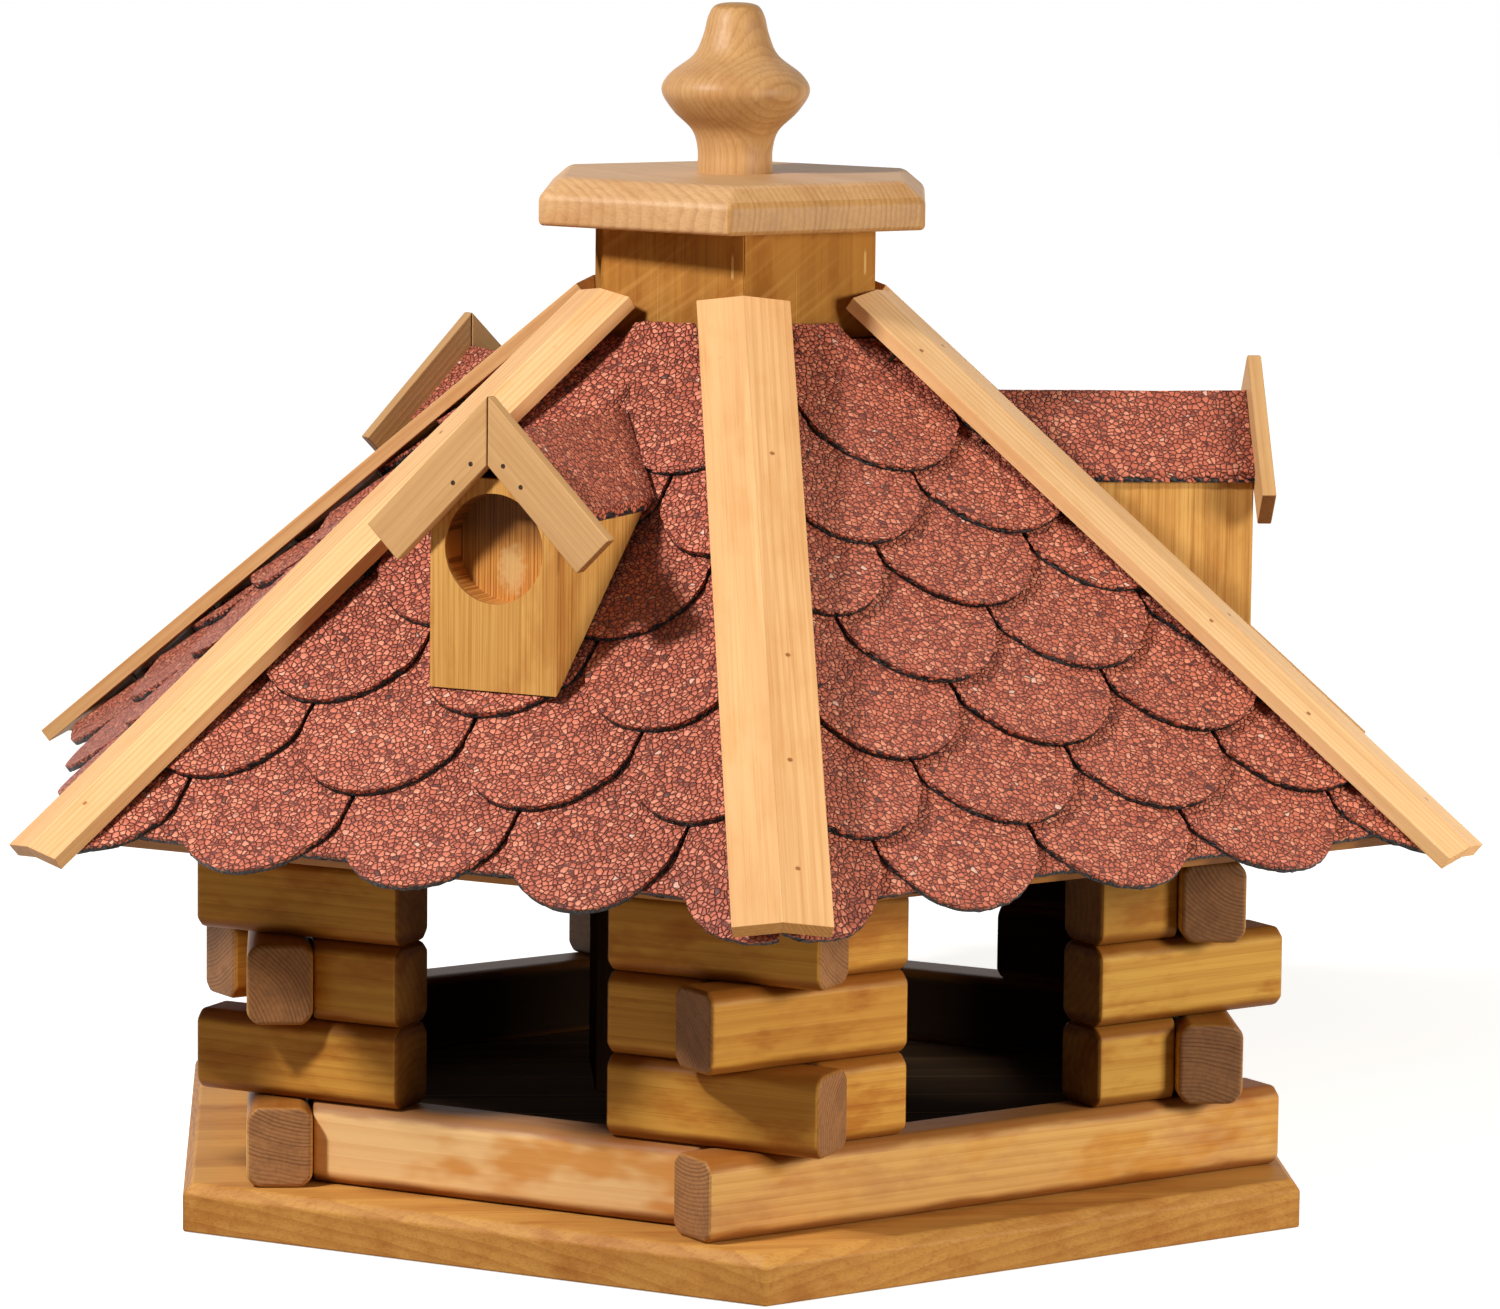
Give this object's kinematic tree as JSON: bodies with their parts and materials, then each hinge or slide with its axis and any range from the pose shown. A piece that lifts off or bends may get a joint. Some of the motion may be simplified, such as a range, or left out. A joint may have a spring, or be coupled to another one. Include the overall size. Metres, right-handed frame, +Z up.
{
  "type": "bird feeder",
  "caption": "Hexagonal log-cabin bird feeder with a shingled roof, small dormers and a lift-off lid over a feed silo.",
  "frame": {"origin": "under the middle of the base plate, on the surface that it stands on", "axes": "+Z up along the silo; -Y towards the corner that faces the viewer; +X to the right, square to a wall with a dormer"},
  "size_m": [0.5342, 0.6, 0.444],
  "materials": {
    "base_board": "glazed pine board",
    "log_pine": "glazed pine",
    "dowel": "plain beech",
    "roof_board": "plain board",
    "shingle_felt": "red mineral granules on bitumen felt",
    "batten_pine": "planed pine",
    "silo_pine": "glazed pine",
    "dormer_pine": "glazed pine",
    "barge_wood": "sawn softwood",
    "cap_wood": "glazed pine",
    "steel": "plain brads"
  },
  "bodies": {
    "house": {"base_plate": "base_board", "sill_log_1": "log_pine", "sill_log_2": "log_pine", "sill_log_3": "log_pine", "sill_log_4": "log_pine", "sill_log_5": "log_pine", "sill_log_6": "log_pine", "corner_post_1": "log_pine", "corner_post_2": "log_pine", "corner_post_3": "log_pine", "corner_post_4": "log_pine", "corner_post_5": "log_pine", "corner_post_6": "log_pine", "head_logs_1": "log_pine", "head_logs_2": "log_pine", "head_logs_3": "log_pine", "head_logs_4": "log_pine", "head_logs_5": "log_pine", "head_logs_6": "log_pine", "corner_pins": "dowel", "roof_panel_1": "roof_board", "roof_panel_2": "roof_board", "roof_panel_3": "roof_board", "roof_panel_4": "roof_board", "roof_panel_5": "roof_board", "roof_panel_6": "roof_board", "shingles_1": "shingle_felt", "shingles_2": "shingle_felt", "shingles_3": "shingle_felt", "shingles_4": "shingle_felt", "shingles_5": "shingle_felt", "shingles_6": "shingle_felt", "hip_batten_1": "batten_pine", "hip_batten_2": "batten_pine", "hip_batten_3": "batten_pine", "hip_batten_4": "batten_pine", "hip_batten_5": "batten_pine", "hip_batten_6": "batten_pine", "silo_board_1": "silo_pine", "silo_board_2": "silo_pine", "silo_board_3": "silo_pine", "silo_board_4": "silo_pine", "silo_board_5": "silo_pine", "silo_board_6": "silo_pine", "dormer_front_1": "dormer_pine", "dormer_front_2": "dormer_pine", "dormer_front_3": "dormer_pine", "dormer_cheeks_1": "dormer_pine", "dormer_cheeks_2": "dormer_pine", "dormer_cheeks_3": "dormer_pine", "bargeboards_1": "barge_wood", "bargeboards_2": "barge_wood", "bargeboards_3": "barge_wood", "dormer_felt_1": "shingle_felt", "dormer_felt_2": "shingle_felt", "dormer_felt_3": "shingle_felt", "brads": "steel"},
    "lid": {"cap_plate": "cap_wood", "finial": "cap_wood", "lid_plug": "roof_board"}
  },
  "joints": [
    {"name": "lid_lift", "type": "slide", "parent": "house", "child": "lid", "axis": [0, 0, 1], "range_m": [0, 0.1]}
  ]
}
